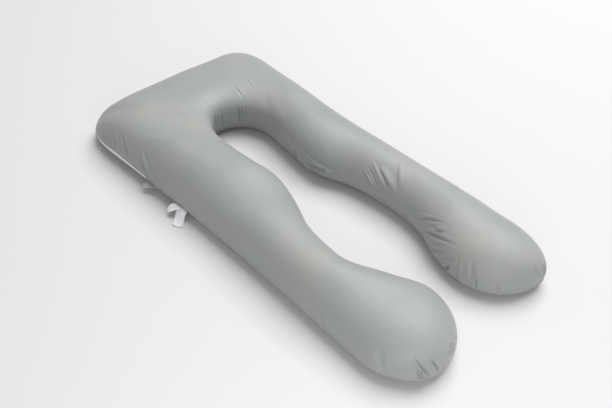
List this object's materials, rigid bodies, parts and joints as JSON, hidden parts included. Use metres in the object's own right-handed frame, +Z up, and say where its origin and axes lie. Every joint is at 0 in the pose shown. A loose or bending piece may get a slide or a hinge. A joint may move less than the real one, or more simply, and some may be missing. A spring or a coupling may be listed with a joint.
{
  "type": "body pillow",
  "caption": "U-shaped stuffed body pillow with a rounded neck gap and flared feet, a zip in one side seam, a loose cover flap and blank care labels.",
  "frame": {"origin": "on the surface that the pillow lies on, below the middle of the whole, the care labels included", "axes": "+X across the pillow, from the leg with the zip to the other leg; +Y from the feet to the head; +Z up"},
  "size_m": [0.7071, 1.4636, 0.1742],
  "materials": {
    "cover": "smooth grey-green woven cloth with a faint satin sheen",
    "zip_cloth": "near-white woven zip tape",
    "zip_teeth": "grey nylon coil",
    "label_cloth": "white satin ribbon, blank"
  },
  "bodies": {
    "root": {"pillow": "cover", "zip_tape_upper": "zip_cloth", "zip_tape_lower": "zip_cloth", "zip_coil": "zip_teeth", "zip_flap": "cover", "care_label_long": "label_cloth", "care_label_short": "label_cloth"}
  },
  "joints": []
}
